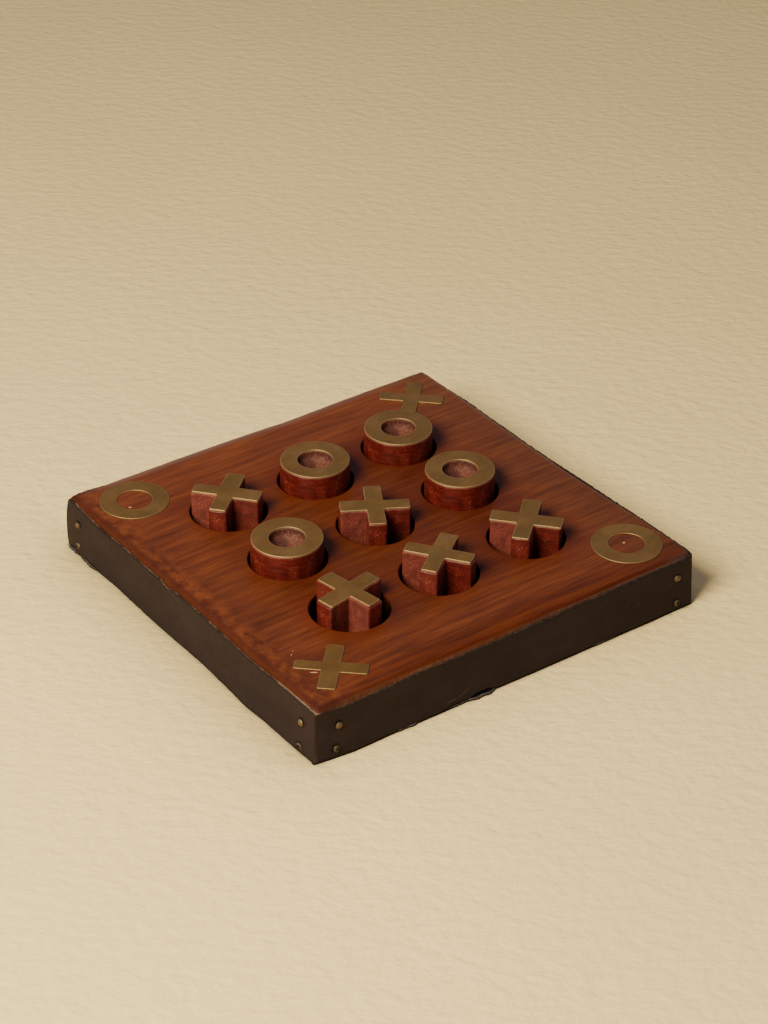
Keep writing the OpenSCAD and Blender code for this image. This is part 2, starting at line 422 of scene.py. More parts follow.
def close_seams(mesh):
    """Merges the points where grids meet or close in a pole, and turns every face outwards."""
    work = bmesh.new()
    work.from_mesh(mesh)
    bmesh.ops.remove_doubles(work, verts=work.verts, dist=1e-6)
    bmesh.ops.recalc_face_normals(work, faces=work.faces)
    work.to_mesh(mesh)
    work.free()


# The wooden block

CELL_STEPS = 40
CELL_SHARES = (0, 0.2, 0.4, 0.58, 0.73, 0.84, 0.92, 0.97)
# What the marks of the sides and the leather say in the nine squares, far from both
FAR = 30.0
TOP_INSETS = (0.9, 2, 3.4, 5, 7, 9.5, 12.5, 15.5, 18.5, 21.5)


def block_swell(points):
    """How far the hand-planed top lies off a true plane: long waves, short waves, and a drop
    along its edges."""
    plan = points[..., :2]
    from_edge = WOOD_HALF - np.abs(plan).max(-1)
    crown = CROWN_DROP * np.clip(1 - from_edge / CROWN_WIDTH, 0, 1) ** 2
    return ripples(plan, TOP_RIPPLES) - crown


def swelled(points):
    """The block's points raised by the swell of its top in proportion to their height."""
    share = (points[..., 2] - WOOD_BOTTOM) / (WOOD_TOP - WOOD_BOTTOM)
    raised = points.copy()
    raised[..., 2] += block_swell(points) * share
    return raised


def out_of_true(points):
    """Points moved out with the block's right and back sides, in full at the sides and less
    and less towards the nine squares."""
    moved = points.copy()
    for axis, run in ((0, RIGHT_RUN), (1, BACK_RUN)):
        place, out = np.array(run, float).T
        share = np.clip((points[..., axis] - SQUARES_HALF) / (WOOD_HALF - SQUARES_HALF), 0, 1)
        moved[..., axis] += share * np.interp(points[..., 1 - axis], place, out)
    return moved


def hole_profile():
    """Radius and height from a hole's mouth, over its rounded rim, down the wall and over the
    floor to the mark of the drill's point."""
    floor = WOOD_TOP - HOLE_DEPTH
    rim = [(HOLE_RADIUS + drop, WOOD_TOP - inset) for inset, drop in quarter_round(MOUTH_RADIUS, 5)]
    wall = [(HOLE_RADIUS, WOOD_TOP - depth) for depth in (1.5, 3, 5.5, 8.5, HOLE_DEPTH - 0.5)]
    bottom = [(HOLE_RADIUS - 0.5, floor), (14, floor), (9, floor), (4, floor), (1.2, floor)]
    return rim + wall + bottom + [(0.6, floor - 0.35), (0, floor - 0.7)]


def hole_cell(column, row, shift_x, shift_y):
    """One square of the grid with its hole: rows from the square's border in to the hole's
    mouth, and on down its profile. Gives also how near its mouth each point of the top is."""
    cell = GRID_PITCH * np.array([column, row])
    hole = cell + (shift_x, shift_y)
    border = cell + square_path(GRID_PITCH / 2, corner=0, spread=0, steps=CELL_STEPS)
    inside = turned(hole_profile(), hole, steps=4 * CELL_STEPS)
    mouth = inside[0, :, :2]
    around = [at_height(border + share * (mouth - border), WOOD_TOP) for share in CELL_SHARES]
    points = np.concatenate([around, inside])
    from_mouth = np.linalg.norm(points[..., :2] - hole, axis=-1) - HOLE_RADIUS
    rim = np.exp(-np.maximum(from_mouth, 0) / STAIN_WIDTH) * (points[..., 2] > WOOD_TOP - 0.4)
    return swelled(points), rim


def block_border():
    """The wood outside the nine squares: rows from the middle of the underside out to the
    sides, up them, over the rolled edge and in across the top to the squares. Gives also each
    point's height over the leather's upper edge, and its distance from the sides."""
    steps = 3 * CELL_STEPS
    lap = TURN * np.arange(4 * steps) / (4 * steps)
    round_lap = np.stack([np.cos(lap), np.sin(lap)], 1)
    wear = EDGE_WEAR * (1 + ripples(round_lap, WEAR_RIPPLES))
    rows = [(half, WOOD_BOTTOM, 0, 0) for half in (0, 45, 80)]
    rows += [(WOOD_HALF - 0.6, WOOD_BOTTOM, PLAN_CORNER, 0)]
    rows += [(WOOD_HALF, WOOD_BOTTOM + rise, PLAN_CORNER, 0) for rise in (0.6, 8, 15, 19, 21)]
    for (inset, drop), worn in zip(quarter_round(EDGE_RADIUS, 10), np.sin(np.linspace(0, math.pi, 10))):
        corner = max(PLAN_CORNER - 0.5 * inset, 0.3)
        rows.append((WOOD_HALF - inset, WOOD_TOP - drop, corner, worn))
    rows += [(WOOD_HALF - EDGE_RADIUS - inset, WOOD_TOP, 0.2, 0) for inset in TOP_INSETS]
    rows += [(SQUARES_HALF, WOOD_TOP, 0, 0)]
    grid = []
    for half, height, corner, worn in rows:
        spread = smooth_step((half - SQUARES_HALF) / (WOOD_HALF - EDGE_RADIUS - SQUARES_HALF))
        path = square_path(half - worn * wear, corner, spread, steps)
        grid.append(at_height(path, height - 0.7 * worn * wear))
    grid = np.stack(grid)
    over_leather = np.empty(grid.shape[:2])
    for first, side in enumerate(("right", "back", "left", "front")):
        columns = slice(first * steps, (first + 1) * steps)
        along = quarter_turned(grid[:, columns], -SIDES.index(side))[..., 0]
        over_leather[:, columns] = grid[:, columns, 2] - strip_cut(side, along)
    from_side = for_rows([WOOD_HALF - half for half, *_ in rows], grid)
    return out_of_true(swelled(grid)), over_leather, from_side


def add_block(finish):
    """The wooden block with its nine blind holes."""
    cells, rims = zip(*[hole_cell(*hole) for hole in HOLES])
    border, over_leather, from_side = block_border()
    far = [np.full(rim.shape, FAR) for rim in rims]
    marks = {
        "rim": [*rims, np.zeros(border.shape[:2])],
        "over_leather": [*far, over_leather],
        "from_side": [*far, from_side],
    }
    add_piece("wooden_block", [*cells, border], finish, "board_body", ["board"], marks)


# Leather strips and lining

def strip_cut(side, along):
    """Height of a strip's upper edge at places along its side: knots joined by straight lines,
    with the small waves and notches of a cut made by hand."""
    places, drops = np.array(STRIP_DROPS[side], float).T
    waves = ripples(along[..., None], EDGE_RIPPLES, SIDES.index(side))
    return WOOD_TOP - np.interp(along, places, drops) - waves


def strip_face(side, along, rise):
    """Distance of a strip's outer face from the block's middle, at a place along its side and a
    share of its height: straight from foot to upper edge, with an arch near its two ends."""
    places, upper, foot = np.array(STRIP_FACES[side], float).T
    lean = 1 - (1 - rise) ** 1.5
    upper, foot = np.interp(along, places, upper), np.interp(along, places, foot)
    from_end = WOOD_HALF - np.abs(along)
    bulge = np.where(along < 0, *END_BULGES[side]) * np.exp(-(from_end / BULGE_WIDTH) ** 2)
    turn = np.where(along < 0, *END_TURNS[side]) * np.exp(-(from_end / TURN_WIDTH) ** 2)
    return WOOD_HALF + foot + (upper - foot) * lean + bulge * 4 * rise * (1 - rise) - turn * rise ** 6


def lips(side, along):
    """How far the lining sticks out at places along a side, and how far the strip curls up
    there: sums over its lips, each a bell with a flat top."""
    reach, curl = np.zeros((2, *along.shape))
    for lip_side, place, half_width, lip_reach, lip_curl in LINING_LIPS:
        if lip_side == side:
            bell = np.exp(-((along - place) / half_width) ** 4)
            reach += lip_reach * bell
            curl += lip_curl * bell
    return reach, curl


# One strip's section as a closed loop: (share of its thickness, share of its height), which
# starts with the points of its outer face
FACE_POINTS = 30
STRIP_SECTION = np.array(
    [(1, rise) for rise in np.linspace(0.02, 0.975, FACE_POINTS)]
    + [(0.93, 0.988), (0.78, 0.997), (0.4, 1), (0, 0.995), (0, 0.97), (0, 0.5), (0, 0.06), (0, 0.005)]
    + [(0.35, 0), (0.7, 0), (0.92, 0.006)]
)


def cap_rows(section):
    """Two rows that close the end of a strip: its section folded onto a line halfway through the
    leather, and the middle of that line."""
    face = section[:FACE_POINTS]
    halfway = (np.interp(section[:, 2], face[:, 2], face[:, 1]) + STRIP_SUNK - WOOD_HALF) / 2
    folded = section.copy()
    folded[:, 1] = halfway + END_FOLD * (section[:, 1] - halfway)
    return np.stack([folded, np.broadcast_to(folded[FACE_POINTS // 2], section.shape)])


def strip_grid(side, half_length, rounding, covers):
    """A strip of leather along one side: its section carried along the side. Its outer face is
    a little uneven, dips round each pin and turns in over the rounding at its ends, its upper
    edge wanders as it was cut, its foot curls up over the lining's lips, and where it covers
    the ends of its neighbours, its own ends lie flush with their faces. Gives also the marks of
    its raw upper edge and of its foot."""
    ends = half_length - END_ZONE * (1 - np.cos(np.radians(np.linspace(0, 90, 9))))
    middle = half_length - END_ZONE - STRIP_STEP
    along = np.concatenate([-ends, np.arange(-middle, middle, STRIP_STEP), ends[::-1]])
    quarter = SIDES.index(side)
    low = STRIP_FOOT + ripples(along[:, None], FOOT_RIPPLES, quarter)
    low = np.maximum(low, LOWEST_FOOT) + lips(side, along)[1]
    share, rise = STRIP_SECTION.T
    height = low[:, None] + rise * (strip_cut(side, along) - low)[:, None]
    place = np.stack([np.broadcast_to(along[:, None], height.shape), height], 2)
    from_end = half_length - np.abs(along)
    face = strip_face(side, along[:, None], rise)
    uneven = ripples(place, FACE_RIPPLES, quarter)
    face = face + smooth_step(from_end / 12)[:, None] * uneven
    for pin in PIN_PLACES[side]:
        away = np.linalg.norm(place - pin, axis=-1)
        face = face - DIP_DEPTH * np.exp(-(away / DIP_RADIUS) ** 4)
    past_round = np.clip((rounding - from_end) / rounding, 0, 1)
    face = face - rounding * (1 - np.sqrt(1 - past_round ** 2))[:, None]
    hidden = WOOD_HALF - STRIP_SUNK
    outwards = hidden + share * (face - hidden)
    neighbours = [
        strip_face(SIDES[(quarter + end) % 4], np.array(-end * WOOD_HALF), rise) for end in (-1, 1)
    ]
    flush = np.where(along[:, None] < 0, *neighbours) + END_PROUD - half_length
    longer = np.sign(along)[:, None] * smooth_step(1 - from_end / 7)[:, None] * flush * covers
    grid = np.stack([place[..., 0] + longer, -outwards, height], 2)
    grid = np.concatenate([cap_rows(grid[0])[::-1], grid, cap_rows(grid[-1])])
    raw = (rise > 0.98) * (0.5 + 0.5 * (share < 0.6))
    foot = 1 - smooth_step((rise - 0.01) / 0.04)
    marks = {name: [np.broadcast_to(mark, grid.shape[:2])] for name, mark in (("raw", raw), ("foot", foot))}
    return out_of_true(quarter_turned(grid, quarter)), marks


def add_strips(finish):
    """The four strips, of which the front and back ones cover the ends of the other two."""
    for side in SIDES:
        covers = side in ("front", "back")
        reach, rounding = COVERING_END if covers else COVERED_END
        grid, marks = strip_grid(side, WOOD_HALF + reach, rounding, covers)
        add_piece(f"{side}_leather", [grid], finish, "board_body", [f"{side}_side_strip"],
                  marks, crease=50)


def add_lining(finish):
    """The lining: a square sheet with a frayed edge, which sticks out in a few places. Rows run
    from the middle of its underside, round its edge, to the middle of its upper side."""
    half = WOOD_HALF
    path = square_path(half, corner=1.5, spread=0.3, steps=400)
    frayed = ripples(path, LINING_RIPPLES) - LINING_SHORT
    ragged = 1 + ripples(path, LIP_RIPPLES)
    outline = path.copy()
    for quarter, side in enumerate(SIDES):
        own = quarter_turned(path, -quarter)
        on_side = smooth_step((-own[:, 1] - half + 3) / 3)
        foot = strip_face(side, own[:, 0], 0) - WOOD_HALF
        reach = (foot + frayed + lips(side, own[:, 0])[0] * ragged) * on_side
        outline += reach[:, None] * quarter_turned(np.array([0.0, -1.0]), quarter)
    profile = (
        (half, 0, 0), (3, 0, 0), (0.25, 0.1, 0), (0, 0.5, 0), (0.04, 0.80, 0), (0.15, 0.98, 1),
        (0.45, 1.08, 0.7), (0.8, 1.12, 0), (2.6, LINING_THICKNESS, 0), (half, LINING_THICKNESS, 0),
    )
    rows = np.stack([at_height(outline * (1 - inset / half), height) for inset, height, _ in profile])
    arris = for_rows([on_arris for *_, on_arris in profile], rows)
    add_piece("lining_sheet", [out_of_true(rows)], finish, "board_body", ["base_lining"],
              {"arris": [arris]})


# Brass pins

def add_pins(finish):
    """Sixteen domed pin heads: a profile from the middle of the back, round the thin rim and
    over the dome, turned round each pin's own axis, which leans a little."""
    dome = [(out, PIN_DOME - fall) for out, fall in ball_cap(PIN_RADIUS, PIN_DOME, 11)]
    profile = [(0, -0.3), (PIN_RADIUS + 0.2, -0.3), (PIN_RADIUS + 0.25, 0.0), (PIN_RADIUS, 0.08)] + dome
    head = turned(profile, (0, 0), steps=32)
    out_of_middle = np.linalg.norm(head[..., :2], axis=-1) / PIN_RADIUS
    # Painted shade round the rim of each head, where it meets the leather, added to its tarnish
    rim = smooth_step((out_of_middle - 0.86) / 0.14)
    rng = np.random.default_rng(5)
    heads, tarnish_and_shade = [], []
    for quarter, side in enumerate(SIDES):
        for number, (along, height) in enumerate(PIN_PLACES[side]):
            lean = rng.normal(0, PIN_LEAN, 2)
            out = head[..., 2] + lean[0] * head[..., 0] + lean[1] * head[..., 1]
            surface = strip_face(side, np.array(along), height / WOOD_TOP) - PIN_SUNK
            placed = np.stack([along + head[..., 0], -(surface + out), height + head[..., 1]], 2)
            placed = quarter_turned(placed, quarter)
            heads.append(out_of_true(placed) if side in ("right", "back") else placed)
            low_row = number % 2 == 0
            dull = (0.3 if low_row else 0.1) + 0.2 * rng.random()
            dark_middle = 0.5 * low_row * (1 - smooth_step((out_of_middle - 0.3) / 0.35))
            tarnish_and_shade.append(dull + dark_middle + rim)
    add_piece("brass_pin_heads", heads, finish, "board_body", ["side_pins"],
              {"tarnish_and_shade": tarnish_and_shade})


# Brass plates

def plate_section(low, high):
    """The edge of a plate, up its side and over its rounded arris to its flat top, as (inset,
    height), after the line of glue and painted shade of one that is let into the wood. Gives also a
    mark for each point: 2 for glue and painted shade, 1 for the worn edge with its painted
    highlight, 0.5 for that of a plate let in, and 0 for the flat."""
    side = [(0, low)] + [(inset, high - drop) for inset, drop in quarter_round(BRASS_ARRIS, 6)]
    flat = [(BRASS_ARRIS + 0.15, high)]
    if low > WOOD_TOP:
        return side + flat, [1] * len(side) + [0]
    return GLUE_AND_SHADE_LINE + side + flat, [2] * len(GLUE_AND_SHADE_LINE) + [0.5] * len(side) + [0]


def on_swell(points):
    """Points near the wood's top moved with its swell, those higher or lower left in place."""
    moved = points.copy()
    near = smooth_step((0.35 - np.abs(points[..., 2] - WOOD_TOP)) / 0.2)
    moved[..., 2] += block_swell(points) * near
    return moved


def cross_plate_outline(reach, widths):
    """A cross cut by hand: arms of their own widths, whose sides meet in the inner corners."""
    corners = []
    for arm in range(4):
        half, next_half = widths[arm] / 2, widths[(arm + 1) % 4] / 2
        points = np.array([(reach, -half), (reach, half), (next_half, half)])
        corners += list(quarter_turned(points, arm))
    sides = [line(start, end, steps=16) for start, end in zip(corners, np.roll(corners, -1, 0))]
    return softened(np.concatenate(sides), passes=1)


def spun(outline, degrees, middle):
    """A flat outline turned round the origin and moved to its place."""
    cos, sin = math.cos(math.radians(degrees)), math.sin(math.radians(degrees))
    return outline @ np.array([[cos, sin], [-sin, cos]]) + middle


def brass_cross_grid(node):
    """A brass cross and the mark of its worn edge, which also carries a painted highlight: its
    outline's rows, closed to the middle below and above."""
    turn, reach, widths = BRASS_CROSSES[node]
    low, high = box_mm(node)
    middle = middle_mm(node)
    outline = cross_plate_outline(reach, widths)
    seed = int(100 * reach + turn)
    filed = np.stack([ripple(outline, 3, seed), ripple(outline, 3, seed + 1)], 1)
    outline = spun(outline + 0.05 * filed, turn, middle)
    section, worn = plate_section(low[2], high[2])
    rows = carried(outline, section)
    shares = (0.9, 0.6, 0.3, 0)
    inner = [at_height(middle + share * (rows[-1][:, :2] - middle), high[2]) for share in shares]
    under = at_height(np.broadcast_to(middle, outline.shape), low[2])
    grid = np.concatenate([[under], rows, inner])
    return on_swell(grid), for_rows([0] + worn + [0] * len(shares), grid)


def brass_ring_grid(node):
    """A brass ring and the mark of its worn edges, which also carry a painted highlight: the section
    of the plate turned round the middle. Its rows meet."""
    low, high = box_mm(node)
    section, worn = plate_section(low[2], high[2])
    outer = [(RING_OUTER - inset, height) for inset, height in section]
    inner = [(RING_INNER + inset, height) for inset, height in section]
    flat = [(RING_OUTER - 2.5, high[2]), (RING_INNER + 2.5, high[2])]
    grid = turned(outer + flat + inner[::-1], middle_mm(node), steps=160)
    return on_swell(grid), for_rows(worn + [0, 0] + worn[::-1], grid)


def add_plate(name, node, finish, body):
    """The brass cross or ring of one node."""
    is_cross = node in BRASS_CROSSES
    grid, edge = brass_cross_grid(node) if is_cross else brass_ring_grid(node)
    add_piece(name, [grid], finish, body, [node], {"edge": [edge]}, rows_meet=not is_cross)


# Wooden pieces

def cross_block_outline(sawn_faces):
    """A cross sawn from turned wood: four arms with parallel sides, ending in arcs. Gives also how
    roughly each point was sawn."""
    second, first, other, at_end = sawn_faces
    half = CROSS_ARM / 2
    swing = math.asin(half / PIECE_RADIUS)
    reach = PIECE_RADIUS * math.cos(swing)
    angle = line(-swing, swing, END_STEPS)
    end = PIECE_RADIUS * np.stack([np.cos(angle), np.sin(angle)], 1)
    arms, cuts = [], []
    for arm in range(4):
        out = line((half, -half), (reach, -half), ARM_STEPS)
        back = line((reach, half), (half, half), ARM_STEPS)
        arms.append(quarter_turned(np.concatenate([out, end, back]), arm))
        faces = (first if arm == 3 else other, at_end, second if arm == 1 else other)
        cuts.append(np.repeat(faces, (ARM_STEPS, END_STEPS, ARM_STEPS)))
    return softened(np.concatenate(arms), passes=3), np.concatenate(cuts)


def add_wooden_cross(number, finish):
    """The wood of a cross, with sawn and slightly ragged notches. Rows run up its sides."""
    node = f"cross_{number}_wood"
    low, high = box_mm(node)
    tall = high[2] - low[2]
    turn = BRASS_CROSSES[f"cross_{number}_brass"][0]
    middle = middle_mm(f"cross_{number}_brass")
    outline, cut = cross_block_outline(SAWN_FACES[number - 1])
    rises = [*np.linspace(0.4, tall - 0.5, 38), tall - 0.2]
    rows = carried(outline, [(0.5, 0)] + [(0, rise) for rise in rises] + [(0.15, tall)])
    rough = ripple(rows * (1, 1, 0.35), 0.9, 70 + number) * 0.05 * cut
    wave = ripple(rows * (1, 1, 0.25), 6, 80 + number) * 0.09
    rows[..., :2] += (rough + wave)[..., None] * inwards(outline)
    top = [rows[-1] * (share, share, 1) for share in (0.6, 0)]
    bottom = rows[0] * (0, 0, 1)
    rows = np.concatenate([[bottom], rows, top])
    placed = np.concatenate([spun(rows[..., :2], turn, middle), rows[..., 2:] + low[2]], 2)
    marks = {"sawn": [np.broadcast_to(cut, rows.shape[:2])], "own_place": [rows * MM]}
    add_piece(f"cross_{number}_block", [placed], finish, f"cross_{number}", [node],
              marks, crease=60)


def add_wooden_ring(number, finish):
    """The wood of a ring: a turned profile, with a rough bowl sunk into its top."""
    node = f"ring_{number}_wood"
    low, high = box_mm(node)
    middle = middle_mm(f"ring_{number}_brass")
    tall = high[2] - low[2]
    wall = [(PIECE_RADIUS, rise) for rise in np.linspace(0.5, tall - 0.3, 32)]
    floor = tall - BOWL_WALL - BOWL_DEPTH
    bowl = [(out, floor + rise) for out, rise in ball_cap(RING_INNER, BOWL_DEPTH, 18)]
    profile = [(0, 0), (PIECE_RADIUS - 0.5, 0)] + wall + [(PIECE_RADIUS - 0.15, tall)]
    profile += [(RING_INNER + 0.1, tall), (RING_INNER, tall - 0.2), (RING_INNER, tall - 1.2)] + bowl
    rows = turned(profile, (0, 0), steps=144)
    in_bowl = np.zeros(len(profile))
    in_bowl[-len(bowl) - 2:] = 1
    rough = ripples(rows, BOWL_RIPPLES, number)
    fade = smooth_step(np.linalg.norm(rows[..., :2], axis=-1) / 1.5) * in_bowl[:, None]
    rows[..., :2] *= (1 + rough * fade / RING_INNER)[..., None]
    rows[..., 2] += rough * fade
    wave = 1 + 0.05 * ripple(rows * (1, 1, 0.5), 9, 98 + number) / PIECE_RADIUS
    rows[..., :2] *= wave[..., None]
    marks = {"bowl": [for_rows(in_bowl, rows)], "own_place": [rows * MM]}
    add_piece(f"ring_{number}_block", [rows + (*middle, low[2])], finish, f"ring_{number}", [node],
              marks, crease=50)


# Finishes

class Finish:
    """A material built from nodes. Inputs are numbers, colours or other nodes' sockets."""

    def __init__(self, name):
        self.material = bpy.data.materials.new(name)
        self.material.use_nodes = True
        self.tree = self.material.node_tree
        self.shader = self.tree.nodes["Principled BSDF"]
        self.place = self.node("TexCoord").outputs["Object"]

    def node(self, kind, inputs=None, **settings):
        """Adds a node with its settings, and gives its inputs their values or links."""
        node = self.tree.nodes.new("ShaderNode" + kind)
        for name, value in settings.items():
            setattr(node, name, value)
        for socket, value in (inputs or {}).items():
            self.give(node.inputs[socket], value)
        return node

    def give(self, socket, value):
        """Links a socket to another, or sets its value."""
        if isinstance(value, bpy.types.NodeSocket):
            self.tree.links.new(value, socket)
        elif socket.type == "RGBA":
            socket.default_value = (*value, 1)
        else:
            socket.default_value = value

    def shade(self, **inputs):
        """Gives the shader's inputs, whose names have _ for a space."""
        for name, value in inputs.items():
            self.give(self.shader.inputs[name.replace("_", " ")], value)
        return self.material

    def sized(self, size, turns=(0, 0, 0), middle=(0, 0, 0), place=None):
        """A place in which one unit is the size in millimetres along each axis, counted from a
        middle and turned about the three axes in degrees."""
        return self.node("Mapping", {
            "Vector": place or self.place, "Location": tuple(length * MM for length in middle),
            "Rotation": tuple(math.radians(turn) for turn in turns),
            "Scale": tuple(length * MM for length in size),
        }, vector_type="TEXTURE").outputs["Vector"]

    def noise(self, size, detail=3, roughness=0.5, turn=0, distortion=0, place=None):
        """Cloudy noise from 0 to 1, with features of about the size in millimetres, turned about
        Z."""
        return self.node("TexNoise", {
            "Vector": self.sized(size, (0, 0, turn), place=place), "Scale": 1, "Detail": detail,
            "Roughness": roughness, "Distortion": distortion,
        }).outputs["Fac"]

    def spot(self, middle, halves, turns):
        """1 in a small ball round its middle, 0 outside it. It has three half axes, in
        millimetres, and turns about the three axes in degrees."""
        place = self.sized(halves, turns, middle)
        away = self.node("VectorMath", {0: place}, operation="LENGTH").outputs["Value"]
        return self.between(away, 1.3, 0.7)

    def openness(self, reach):
        """1 where nothing stands within the reach in millimetres, less near other surfaces."""
        return self.node(
            "AmbientOcclusion", {"Distance": reach * MM}, samples=12,
        ).outputs["AO"]

    def mark(self, name, output="Fac"):
        """A number that the mesh carries at each point, or a place, as its Vector."""
        return self.node("Attribute", attribute_name=name).outputs[output]

    def axes(self):
        """The X, Y and Z of a point, in millimetres."""
        return self.node("SeparateXYZ", {"Vector": self.sized((1, 1, 1))}).outputs[:]

    def sum(self, kind, first, second=0.5, third=0.0):
        """A sum of one kind, such as MAXIMUM, worked out by a math node."""
        node = self.node("Math", {0: first, 1: second, 2: third}, operation=kind)
        return node.outputs[0]

    def times(self, product, *values):
        """The product of several values."""
        for value in values:
            product = self.sum("MULTIPLY", product, value)
        return product

    def plus(self, total, *parts):
        """A value with parts added to it, each a value and its weight."""
        for value, weight in parts:
            total = self.sum("MULTIPLY_ADD", value, weight, total)
        return total

    def between(self, value, low, high, to_low=0.0, to_high=1.0):
        """Maps a value from one range to another, with an even S curve, and clamps it."""
        return self.node("MapRange", {
            "Value": value, "From Min": low, "From Max": high, "To Min": to_low, "To Max": to_high,
        }, interpolation_type="SMOOTHSTEP").outputs["Result"]

    def blend(self, share, first, second, kind="MIX"):
        """Mixes two colours."""
        node = self.node("Mix", data_type="RGBA", blend_type=kind)
        for socket, value in ((0, share), (6, first), (7, second)):
            self.give(node.inputs[socket], value)
        return node.outputs[2]

    def layered(self, colour, *layers):
        """A colour with layers over it, each a share, a colour and perhaps a kind of mix."""
        for share, over, *kind in layers:
            colour = self.blend(share, colour, over, *kind)
        return colour

    def ramp(self, share, *stops):
        """Colour by share through (place, colour) stops."""
        node = self.node("ValToRGB", {"Fac": share})
        elements = node.color_ramp.elements
        while len(elements) < len(stops):
            elements.new(0.5)
        for element, (place, colour) in zip(elements, stops):
            element.position = place
            element.color = (*colour, 1)
        return node.outputs["Color"]

    def height(self, *layers):
        """Adds up bumps of (height, depth in millimetres) into one normal."""
        normal = None
        for height, depth in layers:
            inputs = {"Height": height, "Distance": depth * MM, "Strength": 1.0}
            if normal is not None:
                inputs["Normal"] = normal
            normal = self.node("Bump", inputs).outputs["Normal"]
        return normal


def board_wood():
    """Mahogany-stained wood under thin satin varnish: streaks along X, red stain round the holes,
    a dark red band along the front, dark smudges along the left, a rolled edge that is scratched
    in front and has a painted sheen at the back and on the right, and painted shade down the
    holes."""
    wood = Finish("board_wood")
    x, y, z = wood.axes()
    out = wood.sum("MAXIMUM", wood.sum("ABSOLUTE", x), wood.sum("ABSOLUTE", y))
    from_side = wood.mark("from_side")
    over = wood.mark("over_leather")
    at_front = wood.between(y, -78, -86)
    at_left = wood.between(x, -72, -86)
    at_back = wood.between(y, 80, 88)
    at_right = wood.between(x, 80, 88)

    # Grain, from fine lines to broad bands, paler towards the back right
    streaks = wood.noise((30, 2.3, 6), 5, 0.62, GRAIN_TURN, 0.15)
    lines = wood.noise((16, 0.7, 3), 3, 0.6, GRAIN_TURN)
    bands = wood.noise((75, 10, 20), 3, 0.5, GRAIN_TURN, 0.4)
    patches = wood.noise((42, 30, 30))
    faded = wood.between(wood.sum("ADD", x, y), -170, 150, 0.072, 0.142)
    tone = wood.plus(faded, (lines, 0.16), (streaks, 0.33), (bands, 0.18), (patches, 0.08))
    grain = wood.ramp(
        tone, (0.36, (0.045, 0.0098, 0.0038)), (0.46, (0.088, 0.0203, 0.0065)),
        (0.53, (0.121, 0.0300, 0.0090)), (0.64, (0.172, 0.0485, 0.0138)),
    )

    # Stain, darker in the middle, at the left and along the front
    stain = wood.times(wood.mark("rim"), wood.between(patches, 0.35, 0.6, 0.3, 0.8))
    right_of_middle = wood.times(wood.between(x, 0, 20), wood.between(out, 72, 55))
    left_part = wood.times(wood.between(x, -74, -88), wood.between(y, 35, -10))
    wander = wood.plus(from_side, (patches, -6.0))
    along_front = wood.between(x, -90, -30, 0.1, 0.92)
    smudges = wood.noise((5, 6, 6), 3, 0.6)
    smear = wood.ramp(smudges, (0.36, (0.050, 0.0100, 0.0040)), (0.62, (0.132, 0.0335, 0.0088)))
    colour = wood.layered(
        grain,
        (wood.between(lines, 0.38, 0.26, 0.0, 0.20), (0.038, 0.0080, 0.0034)),
        (stain, (0.098, 0.0150, 0.0032)),
        (wood.between(out, 74, 50), (0.80, 0.74, 0.66), "MULTIPLY"),
        (right_of_middle, (0.82, 0.76, 0.95), "MULTIPLY"),
        (left_part, (0.77, 0.83, 0.95), "MULTIPLY"),
        (wood.between(x, 60, 88), (0.84, 0.97, 1.15), "MULTIPLY"),
        (wood.times(wood.between(wander, 11.0, 3.5), at_front, along_front),
         (0.80, 0.63, 0.38), "MULTIPLY"),
        (wood.times(wood.between(wander, 11.0, 1.0, 0.0, 0.85), at_left), smear),
    )

    # The rolled edge: dark at the left, a painted sheen at the back and the right, scratched in front
    # Painted sheen: a pale tint on the back and right rolls that stands for the reflection they catch
    painted_sheen = wood.sum("MAXIMUM", wood.times(at_back, wood.between(x, 90, 30, 0.35, 0.8)),
                    wood.times(at_right, wood.between(y, -88, 60, 0.15, 0.85)))
    painted_sheen_width = wood.between(x, 75, 86, 6.0, 3.2)
    painted_sheen = wood.times(painted_sheen, wood.between(x, -93, -70), wood.between(from_side, painted_sheen_width, 0.3))
    front_roll = wood.times(wood.between(from_side, 2.8, 0.8), at_front, wood.between(x, -20, 30, 0.5, 1.0))
    scratched = wood.times(
        wood.between(from_side, 0.9, 0.2), at_front, wood.between(x, -91, -78, 0.3, 1.0),
        wood.between(over, 1.9, 0.3, 0.30, 1.0),
        wood.between(wood.noise((0.7, 0.7, 4), 3, 0.7), 0.40, 0.62, 0.4, 0.9),
    )
    along = wood.between(x, -90, 40)
    scraped = wood.blend(along, (0.100, 0.033, 0.017), (0.066, 0.026, 0.015))
    upright = wood.blend(along, (0.180, 0.095, 0.066), (0.112, 0.066, 0.048))
    ragged = wood.noise((2.5, 2.5, 1.0), 4, 0.7)
    pale_near_corner = wood.times(wood.between(wood.plus(over, (ragged, -1.2)), 0.15, -0.45),
                        wood.between(wood.sum("ADD", x, y), -150, -178), wood.between(x, -91.5, -93.0))
    colour = wood.layered(
        colour,
        (wood.times(wood.between(from_side, 3.6, 0.8, 0.0, 0.85), at_left), (0.040, 0.0092, 0.0055)),
        (painted_sheen, (0.142, 0.088, 0.070)),
        (wood.times(wood.between(from_side, 1.5, 0.5, 0.0, 0.75), at_right), (0.045, 0.028, 0.017)),
        (front_roll, (0.70, 0.64, 1.10), "MULTIPLY"),
        (scratched, wood.blend(wood.between(from_side, 0.40, 0.04), scraped, upright)),
        (pale_near_corner, (0.26, 0.155, 0.098)),
    )

